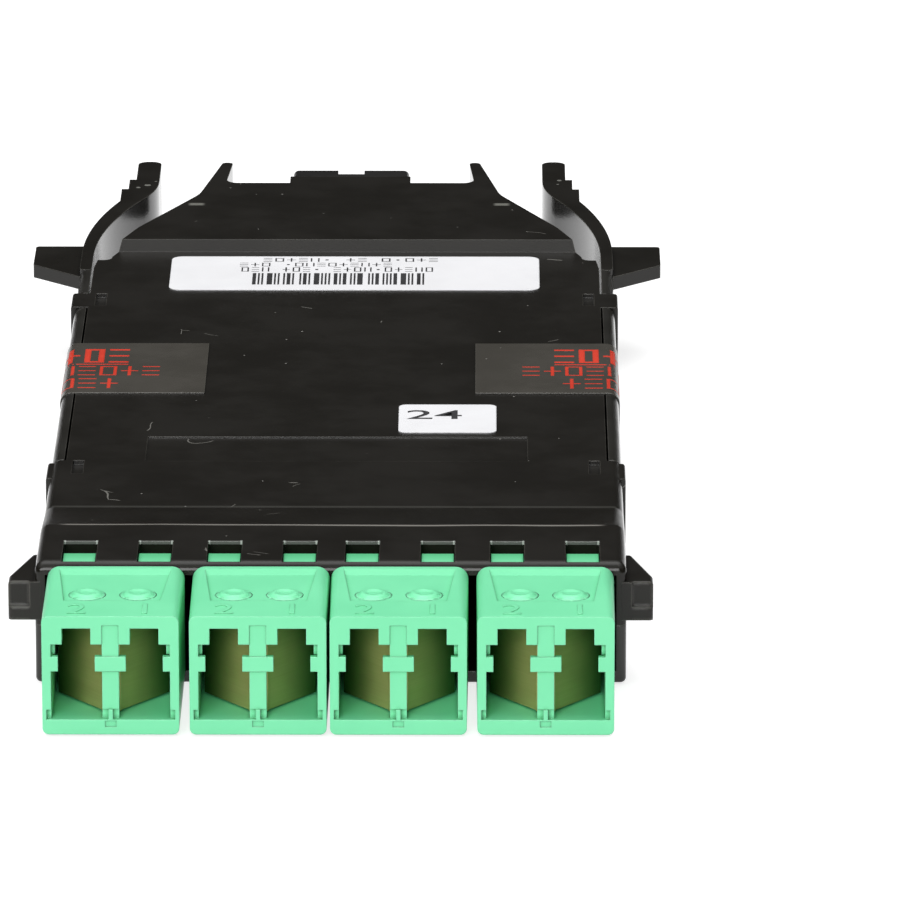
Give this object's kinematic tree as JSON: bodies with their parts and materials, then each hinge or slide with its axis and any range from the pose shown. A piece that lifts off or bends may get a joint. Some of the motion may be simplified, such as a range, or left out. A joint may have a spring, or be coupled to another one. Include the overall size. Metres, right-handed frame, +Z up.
{
  "type": "fibre optic cassette",
  "caption": "Flat fibre cassette: duplex adapters with spring shutters in front, a multi-fibre adapter behind, and side arms that release it from its rack tray.",
  "frame": {"origin": "centre of the footprint, at the underside of the tray", "axes": "+Y from the duplex ports in front to the multi-fibre port behind, +Z up through the cover, +X to the right hand of someone who faces the rear, away from the ports"},
  "size_m": [0.0652, 0.1628, 0.0118],
  "materials": {
    "black_housing": "satin moulded",
    "black_insert": "satin moulded",
    "green_shell": "semi-gloss moulded",
    "spring_leaf": "brushed",
    "ceramic": "polished ceramic",
    "plug_body": "semi-gloss moulded",
    "jacket": "satin extruded",
    "white_label": "coated paper",
    "seal_film": "semi-gloss film"
  },
  "bodies": {
    "housing": {"base_tray": "black_housing", "top_cover": "black_housing", "mpo_adapter": "black_insert", "mpo_plug": "black_insert", "fibre_ribbon": "jacket", "fanout_block": "black_insert", "fibre_leads": "jacket", "id_label": "white_label", "small_label": "white_label", "seal_left": "seal_film", "seal_right": "seal_film", "adapter_1_front_shell": "green_shell", "adapter_1_rear_shell": "green_shell", "adapter_1_sleeves": "ceramic", "adapter_1_plugs": "plug_body", "adapter_2_front_shell": "green_shell", "adapter_2_rear_shell": "green_shell", "adapter_2_sleeves": "ceramic", "adapter_2_plugs": "plug_body", "adapter_3_front_shell": "green_shell", "adapter_3_rear_shell": "green_shell", "adapter_3_sleeves": "ceramic", "adapter_3_plugs": "plug_body", "adapter_4_front_shell": "green_shell", "adapter_4_rear_shell": "green_shell", "adapter_4_sleeves": "ceramic", "adapter_4_plugs": "plug_body"},
    "release_arm_left": {"release_arm_left": "black_housing"},
    "release_arm_right": {"release_arm_right": "black_housing"},
    "adapter_1_shutter_left": {"adapter_1_shutter_left": "spring_leaf"},
    "adapter_1_shutter_right": {"adapter_1_shutter_right": "spring_leaf"},
    "adapter_2_shutter_left": {"adapter_2_shutter_left": "spring_leaf"},
    "adapter_2_shutter_right": {"adapter_2_shutter_right": "spring_leaf"},
    "adapter_3_shutter_left": {"adapter_3_shutter_left": "spring_leaf"},
    "adapter_3_shutter_right": {"adapter_3_shutter_right": "spring_leaf"},
    "adapter_4_shutter_left": {"adapter_4_shutter_left": "spring_leaf"},
    "adapter_4_shutter_right": {"adapter_4_shutter_right": "spring_leaf"}
  },
  "joints": [
    {"name": "release_arm_left_flex", "type": "hinge", "parent": "housing", "child": "release_arm_left", "pos_m": [-0.02697, 0.0392, 0.0058], "axis": [0, 0, -1], "range_deg": [0, 5], "stiffness_Nm_per_rad": 0.4},
    {"name": "release_arm_right_flex", "type": "hinge", "parent": "housing", "child": "release_arm_right", "pos_m": [0.02697, 0.0392, 0.0058], "axis": [0, 0, 1], "range_deg": [0, 5], "stiffness_Nm_per_rad": 0.4},
    {"name": "adapter_1_shutter_left_spring", "type": "hinge", "parent": "housing", "child": "adapter_1_shutter_left", "pos_m": [-0.02065, -0.0789, 0.006], "axis": [0, 0, -1], "range_deg": [0, 39], "stiffness_Nm_per_rad": 0.0002, "springref_deg": -17.19},
    {"name": "adapter_1_shutter_right_spring", "type": "hinge", "parent": "housing", "child": "adapter_1_shutter_right", "pos_m": [-0.01935, -0.0789, 0.006], "axis": [0, 0, 1], "range_deg": [0, 39], "stiffness_Nm_per_rad": 0.0002, "springref_deg": -17.19},
    {"name": "adapter_2_shutter_left_spring", "type": "hinge", "parent": "housing", "child": "adapter_2_shutter_left", "pos_m": [-0.00711, -0.0789, 0.006], "axis": [0, 0, -1], "range_deg": [0, 39], "stiffness_Nm_per_rad": 0.0002, "springref_deg": -17.19},
    {"name": "adapter_2_shutter_right_spring", "type": "hinge", "parent": "housing", "child": "adapter_2_shutter_right", "pos_m": [-0.00579, -0.0789, 0.006], "axis": [0, 0, 1], "range_deg": [0, 39], "stiffness_Nm_per_rad": 0.0002, "springref_deg": -17.19},
    {"name": "adapter_3_shutter_left_spring", "type": "hinge", "parent": "housing", "child": "adapter_3_shutter_left", "pos_m": [0.00579, -0.0789, 0.006], "axis": [0, 0, -1], "range_deg": [0, 39], "stiffness_Nm_per_rad": 0.0002, "springref_deg": -17.19},
    {"name": "adapter_3_shutter_right_spring", "type": "hinge", "parent": "housing", "child": "adapter_3_shutter_right", "pos_m": [0.00711, -0.0789, 0.006], "axis": [0, 0, 1], "range_deg": [0, 39], "stiffness_Nm_per_rad": 0.0002, "springref_deg": -17.19},
    {"name": "adapter_4_shutter_left_spring", "type": "hinge", "parent": "housing", "child": "adapter_4_shutter_left", "pos_m": [0.01935, -0.0789, 0.006], "axis": [0, 0, -1], "range_deg": [0, 39], "stiffness_Nm_per_rad": 0.0002, "springref_deg": -17.19},
    {"name": "adapter_4_shutter_right_spring", "type": "hinge", "parent": "housing", "child": "adapter_4_shutter_right", "pos_m": [0.02065, -0.0789, 0.006], "axis": [0, 0, 1], "range_deg": [0, 39], "stiffness_Nm_per_rad": 0.0002, "springref_deg": -17.19}
  ]
}
